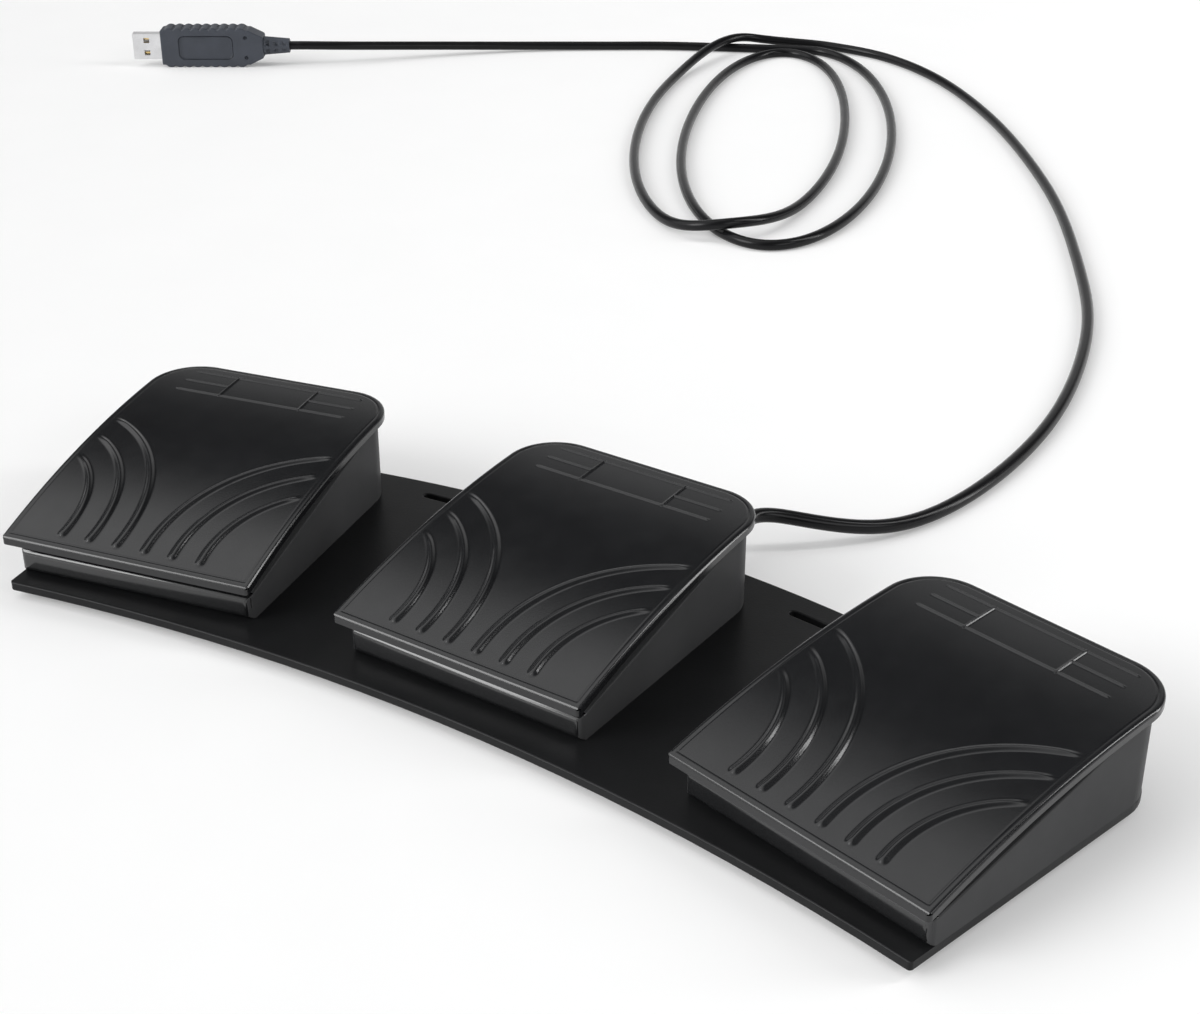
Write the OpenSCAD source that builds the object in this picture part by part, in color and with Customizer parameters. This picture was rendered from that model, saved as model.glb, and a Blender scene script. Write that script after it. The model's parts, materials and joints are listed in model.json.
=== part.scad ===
// Triple foot pedal switch: three hinged treads on an arc-shaped base, a cord with a loose coil, and a plug.
// Millimetres, +Z up. The base centre is over the origin, the feet stand on z = 0 and the front faces -Y.
// Each pedal is drawn once in its own frame: x to the right, y back from the tread's front edge.

/* [Pedals] */
// Width of each foot tread
tread_w = 72; // [68:1:76]
// Depth of each foot tread, front edge to back edge
tread_d = 86; // [84:1:90]
// Radius of the arched side profile of the tread
tread_arch_r = 284; // [270:2:320]
// Thickness of the tread plate
tread_t = 2.2; // [2:0.1:2.5]
// Radius of the two back corners of the tread
tread_corner_r = 14; // [11:0.5:16]
// Angle between neighbouring pedals
pedal_pitch = 13; // [12:0.5:15]
// Radius of the arc that carries the front edges of the treads
arc_r = 426; // [410:2:460]
// Full travel of a tread in degrees
press_deg = 3; // [2:0.25:3]

/* [Base] */
// Height of the rubber feet
foot_h = 2.2; // [2:0.1:3]
// Diameter of the rubber feet
foot_dia = 12; // [9:0.5:13]
// Thickness of the base plate
plate_t = 2.5; // [2:0.1:3.5]
// How far the base reaches out in front of the middle tread
base_front = 5.5; // [5:0.5:8]
// How far the base reaches out in front of the side treads
base_front_side = 2.8; // [2:0.2:4]
// How far the base reaches out behind the middle tread
base_back = 5; // [4.5:0.5:8]
// How far the base reaches out behind the side treads
base_back_side = 1; // [0.6:0.2:2.4]
// Length of each slot between two pedals
slot_len = 26; // [16:1:32]
// Width of each slot between two pedals
slot_w = 2.2; // [1.6:0.1:3]

/* [Housings] */
// Height of the front lip above the base
lip_h = 7; // [6.5:0.25:7.5]
// Height of the back edge of the tread above the base
tread_back_h = 25.5; // [25:0.25:27]
// Wall thickness of the housing
wall_t = 2; // [1.6:0.1:2.2]
// Floor thickness of the housing
floor_t = 2; // [1.6:0.1:2.2]
// Diameter of the hinge pin
pin_dia = 3; // [2.5:0.1:3.4]

/* [Tread relief] */
// Height of the curved grip ribs
rib_h = 0.8; // [0.4:0.1:1.2]
// Width of the grip ribs at their front end
rib_w = 2.4; // [1.8:0.1:3]
// Height of the fine lines by the bare panel
line_h = 0.35; // [0.2:0.05:0.6]
// Inset of the step around the tread's rim
rim_inset = 1; // [0.6:0.1:1.6]

/* [Cord and plug] */
// Diameter of the cord
cord_dia = 4; // [3.4:0.1:4]
// Length of the plug's grip
plug_len = 48; // [46:1:54]
// Width of the plug's grip
plug_w = 18.6; // [17.6:0.2:20]
// Thickness of the plug's grip
plug_t = 9.4; // [8.4:0.2:11]

/* [Hidden] */

side_left = -1;
side_centre = 0;
side_right = 1;
sides = [side_left, side_centre, side_right];
round_fn = 48;
arch_fn = 480;
arc_fn = 720;
big = 400;
eps = 0.02;

// Levels
base_top = foot_h + plate_t;
floor_z = base_top + floor_t;
lip_z = base_top + lip_h;
tread_z = base_top + tread_back_h;
arch_z = tread_z - tread_arch_r;
under_r = tread_arch_r - tread_t;
function under_z(v) = arch_z + sqrt(under_r * under_r - (tread_d - v) * (tread_d - v));

// Housing outline and wall line
side_inset = 2;
front_inset = 3.5;
back_inset = 1.5;
front_corner_r = 2;
housing_w = tread_w - 2 * side_inset;
housing_back = tread_d - back_inset;
housing_corner_r = tread_corner_r - 1.25;
inner_half = housing_w / 2 - wall_t;
lip_flat = 2.4;
lip_round = 1.9;
lip_under = 2.4;
wall_gap = 1;
knee_v = tread_d - 12;
wall_back_z = tread_z - tread_t - wall_gap;

// Hinge
hinge_v = tread_d - 17;
hinge_z = under_z(hinge_v) - 4.9;
pin_r = pin_dia / 2;
run_gap = 0.05;
seat_gap = 0.02;
knuckle_wall = 1.7;
knuckle_w = 8;
knuckle_u = 20;
pin_boss_len = 4;
pin_boss_r = pin_r + 1.9;
pin_left_u = -housing_w / 2 + 0.5;

// How far a point of the tread goes down at full travel
function drop_at(v) = (hinge_v - v) * sin(press_deg);

// Tread skirt, hooks and seats below the plate
skirt_gap = 0.7;
skirt_t = 1.6;
skirt_front_v = front_inset + wall_t + 1;
skirt_back_v = hinge_v - 9;
skirt_front_z = floor_z + drop_at(skirt_front_v) + 0.9;
skirt_back_z = wall_back_z - 7;
hook_v = tread_d * 0.36;
hook_len = 6;
hook_gap = 0.5;
hook_toe_h = 1.3;
ledge_h = 1.2;
ledge_reach = 1.6;
ledge_z = floor_z + 6.7;
stiff_u = 14;
stiff_h = 3;
spring_seat_r = 6.5;
spring_seat_drop = 2.7;
spring_post_r = 3;
spring_post_h = 4;
spigot_h = 2;

// Switch
switch_len = 19.8;
switch_h = 10.2;
switch_t = 6.4;
switch_front_v = hinge_v - 31;
switch_back_v = switch_front_v + switch_len;
spring_gap = 7.5;
spring_v = switch_front_v - spring_gap - spring_seat_r;
spring_seat_z = under_z(spring_v) - spring_seat_drop;
touch_v = switch_front_v + 2;
touch_r = 1.4;
touch_gap = 0.3;
lever_arm = 15.5;
lever_tip = 17.5;
lever_heel = 0.5;
lever_t = 0.4;
lever_w = 4;
lever_deg = 6.3;
lever_pin_r = 0.4;
pivot_v = touch_v + lever_arm;
pivot_z = under_z(touch_v) - 3.1;
switch_top = pivot_z - 0.6;
switch_z = switch_top - switch_h;
touch_z = pivot_z + lever_arm * tan(lever_deg) + lever_t / 2 + touch_gap;
lug_t = 0.8;
lug_w = 2;
lug_h = 1.4;
plunger_v = pivot_v - 6;
plunger_w = 2.4;
plunger_d = 1.8;
plunger_up = 0.9;
plunger_len = 4.2;
plunger_gap = 0.15;
blade_t = 0.6;
blade_w = 3;
blade_h = min(3, switch_z - floor_z - 0.3);
switch_rib_t = 2.5;
switch_holes = [5.2, 14.7];
switch_hole_h = 2.6;
switch_hole_r = 1.15;
switch_screw_r = 1;
switch_head_r = 1.9;
switch_head_h = 1.4;

// Screws through the base
screw_r = 1.45;
screw_hole_r = 1.7;
screw_boss_r = 3.2;
screw_skirt_gap = 1;
screw_u = inner_half - skirt_gap - skirt_t - screw_skirt_gap - screw_boss_r;
screw_spots = [for (v = [12, 60]) for (s = [-1, 1]) [s * screw_u, v]];
screw_boss_z = floor_z + 3.9;
screw_tip_z = screw_boss_z - 0.6;
screw_head_r = 2.8;
screw_head_h = 1.5;
pilot_gap = 0.05;

// Grip ribs and bare panel on the tread
rib_front_v = 2.8;
rib_edge_u = tread_w / 2 - 2;
rib_centre = [49.5, 8];
rib_radii = [29.5, 37.5, 45.5];
rib_thin = 1.1;
rim_depth = 0.7;
panel_w = 25;
panel_d = 11;
panel_back = 5;
line_w = 0.7;
line_end_u = 26;

// Base outline: each arc goes through one point at the middle tread and one at each side tread
function arc_radius(mid, by_side) =
    let (x = by_side * sin(pedal_pitch), rise = mid - by_side * cos(pedal_pitch))
    (x * x + rise * rise) / (2 * rise);
base_front_r = arc_r - base_front;
base_back_r = arc_r + tread_d + base_back;
front_arc = arc_radius(base_front_r, arc_r - base_front_side);
back_arc = arc_radius(base_back_r, arc_r + tread_d + base_back_side);
front_arc_y = base_front_r - front_arc;
back_arc_y = base_back_r - back_arc;
end_u = housing_w / 2;
end_round = 1;
// Where a circle about [0, c] crosses the line at u beside a side pedal's middle, from the row's centre
function arc_hit(c, r, u) =
    let (k = c * cos(pedal_pitch))
    k + sqrt(k * k - u * u - c * c - 2 * c * u * sin(pedal_pitch) + r * r);
end_front_r = arc_hit(front_arc_y, front_arc + end_round, end_u - end_round);
base_y_front = end_front_r * cos(pedal_pitch) - (end_u - end_round) * sin(pedal_pitch) - end_round;
arc_y = (base_y_front + base_back_r) / 2;
slot_r = base_back_r - 9;
wire_hole_u = 22;
wire_hole_v = hinge_v + 8;
wire_hole_r = 2.5;
foot_spots = [[16, 7], [24, 75]];
foot_taper = 0.6;

// Wires inside and under the base
wire_r = 0.8;
wire_sides = 6;
wire_low = foot_h - wire_r - 0.05;
wire_high = floor_z + 2;
wire_end = 1.5;
wire_turn = 4;
wire_in = 6;
wire_by_hole = 7;
wire_splice_step = 2;
splice_u = 17;
splice_r = 2.6;
splice_front_v = hinge_v - 9;
splice_back_v = hinge_v + 4;

// Gland at the back of the middle housing
gland_neck_r = 2.9;
gland_flange_r = 3.9;
gland_z = floor_z + gland_flange_r + 0.3;
gland_flange_t = 1.4;
gland_collar_t = 1.4;
gland_len = 14;
gland_root_r = 3.5;
gland_tip_r = 2.8;
gland_rings = 3;
gland_groove = 0.5;
gland_end_v = housing_back + gland_collar_t + gland_len;

// Cord
cord_r = cord_dia / 2;
cord_sides = 8;
cord_z = cord_r + 0.05;
tail_r = 1.7;
loop_centre = [-150.5, 386.8];
loop_dir = 116;
loop_a = 132;
loop_b = 43.5;
loop_shift = [7, -20.2];
loop_inset = 10;
loop_step = 10;
loop_last = 720;
hump_h = cord_dia + 0.7;
hump_half = 40;
hump_low = 532;
hump_high = 698;
exit_y = -arc_y + arc_r + gland_end_v;
plug_dir = 214.4;
plug_at = [-400.4, 351.6];

// Plug
relief_len = 12;
relief_r1 = 3.3;
relief_r2 = 4.3;
notch_w = 1.4;
grip_bumps = 9;
grip_bump_r = 2.9;
grip_chamfer = 6.5;
panel2_len = 25;
panel2_w = 10.6;
panel2_r = 2.4;
panel2_depth = 0.6;
shell_w = 12;
shell_t = 4.5;
shell_len = 13.5;
shell_wall = 0.35;
tongue_t = 1.9;
tongue_gap = 0.15;
tongue_back = 1.2;
window_l = 2.6;
window_w = 2.2;
window_z = 2.9;
contact_w = 1;
contact_pitch = 2.3;
contact_t = 0.25;
contact_back = 3;

function unit(v) = v / norm(v);

// One smooth curve through all given points, each span cut into n pieces
function span_point(p, i, t) =
    let (a = p[max(i - 1, 0)], b = p[i], c = p[i + 1], d = p[min(i + 2, len(p) - 1)])
    0.5 * (2 * b + (c - a) * t + (2 * a - 5 * b + 4 * c - d) * t * t + (3 * b - a - 3 * c + d) * t * t * t);
function curve(p, n) = concat(
    [for (i = [0:len(p) - 2]) for (k = [0:n - 1]) span_point(p, i, k / n)],
    [p[len(p) - 1]]
);

function tangents(p) = [for (i = [0:len(p) - 1]) unit(p[min(i + 1, len(p) - 1)] - p[max(i - 1, 0)])];
function square_to(n, t) = unit(n - (n * t) * t);
function any_normal(t) = square_to(abs(t.z) < 0.8 ? [0, 0, 1] : [1, 0, 0], t);
function normals(t) = [
    for (i = 0, n = any_normal(t[0]); i < len(t); i = i + 1, n = i < len(t) ? square_to(n, t[i]) : n) n
];

// Tube of radius r along the points p, with the tangents t given so that two tubes can share an end face
module tube(p, t, r, m) {
    n = normals(t);
    count = len(p);
    rings = [
        for (i = [0:count - 1]) for (k = [0:m - 1])
        p[i] + r * (cos((k + 0.5) * 360 / m) * n[i] + sin((k + 0.5) * 360 / m) * cross(t[i], n[i]))
    ];
    walls = [
        for (i = [0:count - 2]) for (k = [0:m - 1])
        let (a = i * m + k, b = i * m + (k + 1) % m)
        each [[a, a + m, b], [b, a + m, b + m]]
    ];
    caps = [[for (k = [0:m - 1]) k], [for (k = [m - 1:-1:0]) (count - 1) * m + k]];
    polyhedron(points = rings, faces = concat(walls, caps), convexity = 10);
}

// The two loops, lying on the floor as ovals; the second lies on the first in two long low humps
function ease(x) = let (c = min(max(x, 0), 1)) c * c * (3 - 2 * c);
function hump(x) = abs(x) < hump_half ? pow(cos(90 * x / hump_half), 2) : 0;
function loop_point(tau) =
    let (
        w = ease((tau - 270) / 180),
        inset = abs(tau - 360) < 120 ? loop_inset * pow(cos((tau - 360) * 0.75), 2) : 0,
        far = w * loop_shift[0] + (loop_a - inset) * cos(tau),
        across = w * loop_shift[1] + loop_b * sin(tau)
    )
    [
        loop_centre[0] + far * cos(loop_dir) + across * sin(loop_dir),
        loop_centre[1] + far * sin(loop_dir) - across * cos(loop_dir),
        cord_z + hump_h * (hump(tau - hump_low) + hump(tau - hump_high))
    ];
loops = [for (tau = [0:loop_step:loop_last]) loop_point(tau)];

// Lead from the plug's height down to the floor and on to the loops; third value: share of that height
lead_spots = [
    [-378.7, 370.8, 0.84], [-363.3, 389.1, 0.6], [-347.6, 407.5, 0.36], [-330.3, 425.9, 0.15],
    [-309.9, 443.8, 0.03], [-287.9, 459.7, 0], [-265.5, 475.1, 0], [-236, 490.3, 0]
];
plug_axis = [cos(plug_dir), sin(plug_dir), 0];
plug_end = [plug_at[0], plug_at[1], plug_w / 2];
lead = curve(concat(
    [for (i = [0:2]) plug_end - i * cord_dia * plug_axis],
    [for (q = lead_spots) [q[0], q[1], cord_z + q[2] * (plug_end.z - cord_z)]]
), 2);

// Run from the loops to the gland
run_points = [
    [-209, 514.3, cord_z + 0.8],
    [-188, 518.3, cord_z],
    [-165, 514.3, cord_z],
    [-129, 494.3, cord_z],
    [-85, 452.3, cord_z],
    [-50, 409.3, cord_z],
    [-18, 364.3, cord_z],
    [12, 310.3, cord_z],
    [34, 266.3, cord_z],
    [50, 210.3, cord_z],
    [55, 167.3, cord_z],
    [53, 128.3, cord_z],
    [45, 102.3, cord_z + 0.6],
    [32, 87.3, cord_z + 4.4],
    [splice_u + 3.4, exit_y + 3.6 * cord_dia, gland_z - 1.2],
    [splice_u, exit_y + 2 * cord_dia, gland_z],
    [splice_u, exit_y + cord_dia, gland_z],
    [splice_u, exit_y, gland_z]
];
run = curve(run_points, 2);

cord_path = concat(lead, loops, run);
cord_tangents = tangents(cord_path);
lead_last = len(lead) - 1;
coil_last = len(lead) + len(loops) + 4;
function piece(list, a, b) = [for (i = [a:b]) list[i]];
cord_steps = [for (i = [1:len(cord_path) - 1]) norm(cord_path[i] - cord_path[i - 1])];
cord_length = cord_steps * [for (s = cord_steps) 1];

// Least gap of the coil to itself, on points set closer than its rings
gap_points = [for (tau = [0:3:loop_last]) loop_point(tau)];
gap_apart = 24;
least_gap = min([
    for (i = [0:len(gap_points) - 1]) for (k = [i + gap_apart:1:len(gap_points) - 1])
    norm(gap_points[i] - gap_points[k])
]) - cord_dia;
lead_gap = min([
    for (a = curve(lead, 4)) for (k = [90:len(gap_points) - 1]) norm(a - gap_points[k])
]) - cord_dia;
exit_gap = min([
    for (a = curve(run_points, 6)) for (k = [0:len(gap_points) - 30]) norm(a - gap_points[k])
]) - cord_dia;
echo(coil_gap = least_gap, lead_gap = lead_gap, exit_gap = exit_gap);
echo(cord_length = cord_length);

// Frames
module on_arc(side) {
    translate([0, -arc_y, 0]) rotate([0, 0, -side * pedal_pitch]) translate([0, arc_r, 0]) children();
}
module along_u(w) {
    rotate([90, 0, 90]) translate([0, 0, -w / 2]) linear_extrude(w) children();
}
module slab(z0, z1) {
    translate([0, 0, z0]) linear_extrude(z1 - z0) children();
}
module disc(at, r, z0, z1) {
    translate([at[0], at[1], z0]) cylinder(r = r, h = z1 - z0, $fn = round_fn);
}
module block(u0, u1, v0, v1, z0, z1) {
    translate([u0, v0, z0]) cube([u1 - u0, v1 - v0, z1 - z0]);
}
// Round rods along x and along y, from the point at
module rod_u(at, r, l, fn = round_fn) {
    translate(at) rotate([0, 90, 0]) cylinder(r = r, h = l, $fn = fn);
}
module rod_v(at, r, l) {
    translate(at) rotate([-90, 0, 0]) cylinder(r = r, h = l, $fn = round_fn);
}

// Plan outline with round back corners and small front corners
module outline(half, front, back, r_back, r_front) {
    translate([-half, front + r_front]) square([2 * half, back - r_back - front - r_front]);
    translate([-half + r_back, front + r_front]) square([2 * (half - r_back), back - front - r_front]);
    translate([-half + r_front, front]) square([2 * (half - r_front), back - r_back - front]);
    for (s = [-1, 1]) {
        translate([s * (half - r_back), back - r_back]) circle(r_back, $fn = round_fn);
        translate([s * (half - r_front), front + r_front]) circle(r_front, $fn = round_fn);
    }
}
module arch_circle(r) {
    translate([tread_d, arch_z]) circle(r, $fn = arch_fn);
}
// Layer between two arch radii
module arch_layer(r_out, r_in) {
    along_u(tread_w + 20) difference() {
        arch_circle(r_out);
        arch_circle(r_in);
    }
}

module base_plate() {
    color([0.1, 0.1, 0.11]) translate([0, -arc_y, foot_h]) linear_extrude(plate_t) difference() {
        intersection() {
            translate([0, back_arc_y]) circle(back_arc, $fn = arc_fn);
            rotate(-pedal_pitch) translate([end_u - big, 0]) square([big, 2 * big]);
            rotate(pedal_pitch) translate([-end_u, 0]) square([big, 2 * big]);
        }
        translate([0, front_arc_y]) circle(front_arc, $fn = arc_fn);
        for (s = [-1, 1]) {
            end_corner(s, front_arc_y, front_arc, end_round, -1);
            end_corner(s, back_arc_y, back_arc, housing_corner_r, 1);
        }
        for (s = [-0.5, 0.5]) rotate(-s * pedal_pitch) translate([0, slot_r]) {
            square([slot_len - slot_w, slot_w], center = true);
            for (e = [-1, 1]) translate([e * (slot_len - slot_w) / 2, 0]) circle(slot_w / 2, $fn = 24);
        }
        for (side = sides) rotate(-side * pedal_pitch) translate([0, arc_r]) {
            for (q = screw_spots) translate(q) circle(screw_hole_r, $fn = 24);
            wire_openings(side);
        }
    }
}
// What is cut off to round a corner of the base's end s: way is 1 at the back arc and -1 at the front arc
module end_corner(s, c, arc, r, way) {
    at = [end_u - r, arc_hit(c, arc - way * r, end_u - r)];
    out = way * unit(at - c * [-sin(pedal_pitch), cos(pedal_pitch)]);
    reach = 2 * r;
    rotate(-s * pedal_pitch) difference() {
        translate([s * at[0], at[1]]) polygon([
            for (q = [[0, 0], [1, 0], out + [1, 0], out]) reach * [s * q[0], q[1]]
        ]);
        translate([s * at[0], at[1]]) circle(r, $fn = round_fn);
    }
}
// Openings for the link wires, towards the neighbour in the middle
module wire_openings(side) {
    for (s = side == side_centre ? [-1, 1] : [-side]) translate([s * wire_hole_u, wire_hole_v]) {
        circle(wire_hole_r, $fn = 24);
    }
}

module rubber_feet() {
    color([0.05, 0.05, 0.05]) for (side = sides) on_arc(side) for (q = foot_spots) {
        translate([side * q[0], q[1], 0]) {
            cylinder(r1 = foot_dia / 2 - foot_taper, r2 = foot_dia / 2, h = foot_h, $fn = round_fn);
        }
    }
}

module housing(side) {
    color([0.09, 0.09, 0.1]) on_arc(side) {
        difference() {
            slab(base_top, wall_back_z) outline(
                housing_w / 2, front_inset, housing_back, housing_corner_r, front_corner_r
            );
            slab(floor_z, tread_z) outline(
                inner_half, front_inset + wall_t, housing_back - wall_t, housing_corner_r - wall_t, 0.6
            );
            along_u(tread_w + 10) wall_cut();
            slab(base_top - 1, floor_z + 1) wire_openings(side);
            for (q = screw_spots) disc(q, screw_r + pilot_gap, base_top - 1, floor_z + 1);
            rod_u([pin_left_u - 5, hinge_v, hinge_z], pin_r + seat_gap, wall_t + 5);
            if (side == side_centre) {
                rod_v([splice_u, housing_back - wall_t - 1, gland_z], gland_neck_r + seat_gap, wall_t + 2);
            }
        }
        for (q = screw_spots) difference() {
            disc(q, screw_boss_r, floor_z - eps, screw_boss_z);
            disc(q, screw_r + pilot_gap, floor_z - 1, screw_tip_z + 0.1);
        }
        for (s = [-1, 1]) difference() {
            rod_u(
                [s > 0 ? inner_half - pin_boss_len : -inner_half - eps, hinge_v, hinge_z],
                pin_boss_r, pin_boss_len + eps
            );
            rod_u([pin_left_u - 1, hinge_v, hinge_z], pin_r + seat_gap, inner_half - pin_left_u + 1);
        }
        for (s = [-1, 1]) {
            block(
                s > 0 ? inner_half - ledge_reach : -inner_half - eps,
                s > 0 ? inner_half + eps : -inner_half + ledge_reach,
                hook_v - hook_len / 2 - 1, hook_v + hook_len / 2 + 1, ledge_z, ledge_z + ledge_h
            );
        }
        disc([0, spring_v], spring_post_r, floor_z - eps, floor_z + spring_post_h);
        difference() {
            block(
                switch_t / 2, switch_t / 2 + switch_rib_t, switch_front_v, switch_back_v,
                floor_z - eps, switch_z + switch_hole_h + 4.4
            );
            for (h = switch_holes) rod_u(
                [0, switch_front_v + h, switch_z + switch_hole_h],
                switch_screw_r + pilot_gap, switch_t + switch_rib_t, 24
            );
        }
    }
}
// Side view of what is cut off above the wall, with the round front lip
module wall_cut() {
    polygon([
        [-big / 10, lip_z], [front_inset + lip_flat, lip_z], [knee_v, wall_back_z - eps],
        [tread_d + 10, wall_back_z - eps], [tread_d + 10, big], [-big / 10, big]
    ]);
    difference() {
        translate([front_inset - 1, lip_z - lip_round]) square([lip_round + 1, lip_round + 1]);
        translate([front_inset + lip_round, lip_z - lip_round]) circle(lip_round, $fn = round_fn);
    }
    difference() {
        translate([front_inset - 1, base_top - 1]) square(lip_under + 1);
        translate([front_inset + lip_under, base_top + lip_under]) circle(lip_under, $fn = round_fn);
    }
}

module tread(side) {
    half = tread_w / 2;
    color([0.15, 0.155, 0.17]) on_arc(side) difference() {
        union() {
            difference() {
                intersection() {
                    slab(0, big / 4) outline(half, 0, tread_d, tread_corner_r, 1);
                    arch_layer(tread_arch_r, under_r);
                }
                intersection() {
                    slab(0, big / 4) difference() {
                        outline(half + 5, -5, tread_d + 5, tread_corner_r + 5, 1);
                        outline(
                            half - rim_inset, rim_inset, tread_d - rim_inset, tread_corner_r - rim_inset, 1.4
                        );
                    }
                    arch_layer(tread_arch_r + 5, tread_arch_r - rim_depth);
                }
            }
            intersection() {
                slab(0, big / 4) grip_ribs();
                arch_layer(tread_arch_r + rib_h, tread_arch_r - 0.3);
            }
            intersection() {
                slab(0, big / 4) panel_lines();
                arch_layer(tread_arch_r + line_h, tread_arch_r - 0.3);
            }
            tread_skirt();
            tread_seats();
        }
        rod_u([-half, hinge_v, hinge_z], pin_r + run_gap, tread_w);
    }
}
// Six curved grip ribs, three to each side, thinning out towards the side edges
module grip_ribs() {
    shift = 2 * (rib_w - rib_thin);
    for (s = [-1, 1]) intersection() {
        translate([s > 0 ? 0 : -rib_edge_u, rib_front_v]) square([rib_edge_u, tread_d]);
        for (r = rib_radii) difference() {
            translate([s * (rib_centre[0] - shift), rib_centre[1]]) circle(r + rib_w / 2 - shift, $fn = 96);
            translate([s * rib_centre[0], rib_centre[1]]) circle(r - rib_w / 2, $fn = 96);
        }
    }
}
// Fine lines on both sides of a bare panel near the back edge
module panel_lines() {
    v1 = tread_d - panel_back;
    v0 = v1 - panel_d;
    for (v = [v0, v1]) translate([-line_end_u, v - line_w / 2]) square([2 * line_end_u, line_w]);
    for (s = [-1, 1]) {
        translate([s * panel_w / 2 - line_w / 2, v0]) square([line_w, panel_d]);
        translate([s > 0 ? panel_w / 2 : -line_end_u, (v0 + v1) / 2 - line_w / 2]) {
            square([line_end_u - panel_w / 2, line_w]);
        }
    }
}
// Skirt inside the housing walls, notched over the ledges
module tread_skirt() {
    out = inner_half - skirt_gap;
    notch_z = ledge_z + ledge_h + drop_at(hook_v - hook_len) + 0.5;
    difference() {
        intersection() {
            slab(0, big / 4) difference() {
                outline(out, skirt_front_v, housing_back, housing_corner_r, 0.6);
                outline(out - skirt_t, skirt_front_v + skirt_t, housing_back, housing_corner_r, 0.6);
            }
            along_u(tread_w) intersection() {
                arch_circle(under_r + 0.5);
                polygon([
                    [0, skirt_front_z], [skirt_front_v, skirt_front_z], [skirt_back_v, skirt_back_z],
                    [skirt_back_v, big / 4], [0, big / 4]
                ]);
            }
        }
        block(-out - 1, out + 1, hook_v - hook_len / 2 - 2, hook_v + hook_len / 2 + 2, 0, notch_z);
    }
    for (s = [-1, 1]) {
        leg = out - skirt_t;
        toe_z = ledge_z - hook_gap;
        intersection() {
            block(
                s > 0 ? leg - skirt_t : -leg - eps, s > 0 ? leg + eps : -leg + skirt_t,
                hook_v - hook_len / 2, hook_v + hook_len / 2, toe_z - hook_toe_h, tread_z
            );
            along_u(tread_w) arch_circle(under_r + 0.5);
        }
        block(
            s > 0 ? leg - eps : -inner_half + 0.6, s > 0 ? inner_half - 0.6 : -leg + eps,
            hook_v - hook_len / 2, hook_v + hook_len / 2, toe_z - hook_toe_h, toe_z
        );
    }
}
// Hinge knuckles, spring seat, touch rib and stiffening ribs
module tread_seats() {
    knuckle_r = pin_r + knuckle_wall;
    for (s = [-1, 1]) translate([s * knuckle_u, 0, 0]) along_u(knuckle_w) intersection() {
        union() {
            translate([hinge_v, hinge_z]) circle(knuckle_r, $fn = round_fn);
            translate([hinge_v - knuckle_r, hinge_z]) square([2 * knuckle_r, 10]);
        }
        arch_circle(under_r + 0.5);
    }
    intersection() {
        disc([0, spring_v], spring_seat_r, spring_seat_z, tread_z);
        along_u(tread_w) arch_circle(under_r + 0.5);
    }
    disc([0, spring_v], spring_post_r, spring_seat_z - spigot_h, spring_seat_z + 1);
    along_u(lever_w + 1) translate([touch_v, touch_z + touch_r]) circle(touch_r, $fn = 32);
    for (s = [-1, 1]) translate([s * stiff_u, 0, 0]) along_u(1.4) difference() {
        intersection() {
            arch_circle(under_r + 0.5);
            translate([skirt_front_v + 4, 0]) square([skirt_back_v - skirt_front_v - 4, big / 4]);
        }
        arch_circle(under_r - stiff_h);
    }
}

module hinge_pin(side) {
    color([0.7, 0.71, 0.72]) on_arc(side) {
        rod_u([pin_left_u, hinge_v, hinge_z], pin_r, inner_half - pin_left_u - seat_gap);
    }
}

// Compression spring between the housing floor and the tread's seat
module spring(side) {
    wire = 0.5;
    mean_r = 4.5;
    turns = 5;
    rings = 8 * turns;
    z0 = floor_z + wire;
    z1 = spring_seat_z - wire;
    p = [
        for (i = [0:rings])
        [mean_r * cos(i * 45), mean_r * sin(i * 45), z0 + (z1 - z0) * ease_ends(i / rings)]
    ];
    color([0.75, 0.76, 0.78]) on_arc(side) translate([0, spring_v, 0]) tube(p, tangents(p), wire, 6);
}
// Flat end turns, even pitch between them
function ease_ends(x) = min(max((x - 0.12) / 0.76, 0), 1);

module switch_body(side) {
    v0 = switch_front_v;
    color([0.04, 0.04, 0.045]) on_arc(side) {
        difference() {
            union() {
                block(-switch_t / 2, switch_t / 2, v0, switch_back_v, switch_z, switch_top);
                for (s = [-1, 1]) {
                    block(
                        s > 0 ? switch_t / 2 - lug_t : -switch_t / 2,
                        s > 0 ? switch_t / 2 : -switch_t / 2 + lug_t,
                        pivot_v - lug_w / 2, pivot_v + lug_w / 2, switch_top - eps, switch_top + lug_h
                    );
                }
                for (v = [2.2, switch_len / 2, switch_len - 2.2]) {
                    block(
                        -blade_t / 2, blade_t / 2, v0 + v - blade_w / 2, v0 + v + blade_w / 2,
                        switch_z - blade_h, switch_z + eps
                    );
                }
            }
            rod_u([-switch_t, pivot_v, pivot_z], lever_pin_r + run_gap, 2 * switch_t, 24);
            for (h = switch_holes) {
                rod_u([-switch_t, v0 + h, switch_z + switch_hole_h], switch_hole_r, 2 * switch_t, 24);
            }
            block(
                -plunger_w / 2 - plunger_gap, plunger_w / 2 + plunger_gap,
                plunger_v - plunger_d / 2 - plunger_gap, plunger_v + plunger_d / 2 + plunger_gap,
                switch_top + plunger_up - plunger_len - 1, switch_top + 1
            );
        }
    }
}

module lever(side) {
    color([0.72, 0.73, 0.75]) on_arc(side) translate([0, pivot_v, pivot_z]) {
        rotate([-lever_deg, 0, 0]) {
            block(-lever_w / 2, lever_w / 2, -lever_tip, lever_heel, -lever_t / 2, lever_t / 2);
        }
        rod_u([-switch_t / 2 + 0.1, 0, 0], lever_pin_r, switch_t - 0.2, 24);
    }
}

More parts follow.
